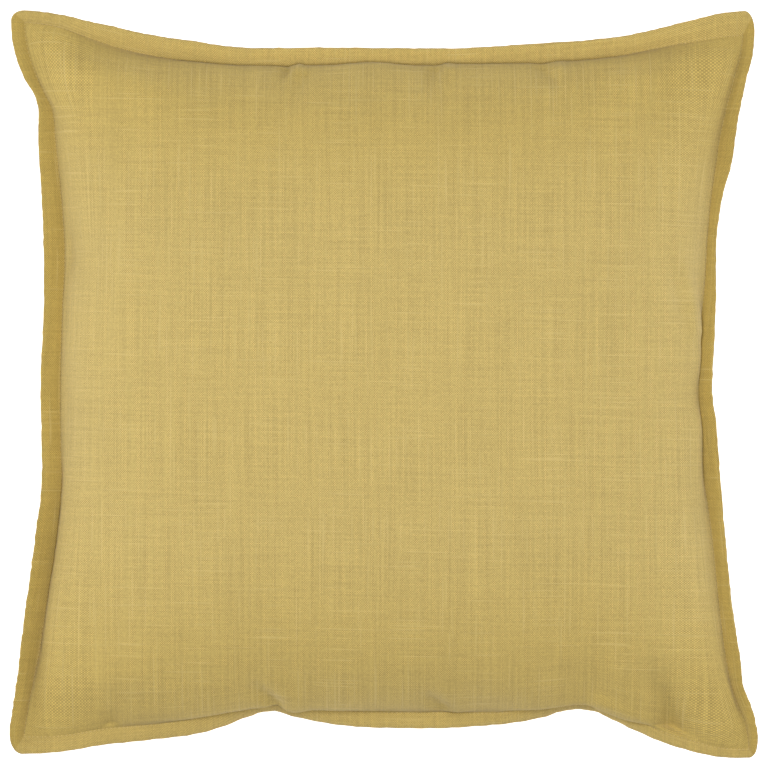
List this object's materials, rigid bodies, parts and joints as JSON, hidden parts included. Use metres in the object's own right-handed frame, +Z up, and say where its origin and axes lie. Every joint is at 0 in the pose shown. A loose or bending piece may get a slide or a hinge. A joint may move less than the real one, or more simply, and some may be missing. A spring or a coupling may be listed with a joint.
{
  "type": "flange throw pillow",
  "caption": "Square filled throw pillow with a narrow topstitched self flange, a crowned face, drawn-in sides and tucks along its seams.",
  "frame": {"origin": "on the surface that the pillow's back lies on, below the middle of its bounding box", "axes": "+Z up out of the face, +X to the right and +Y to the top of the face as it is looked at"},
  "size_m": [0.5018, 0.5021, 0.132],
  "materials": {
    "cover_cloth": "matte slub plain weave, mustard",
    "flange_cloth": "matte slub plain weave, mustard, pressed flat"
  },
  "bodies": {
    "root": {"cushion": "cover_cloth", "flange_front": "flange_cloth", "flange_back": "flange_cloth"}
  },
  "joints": []
}
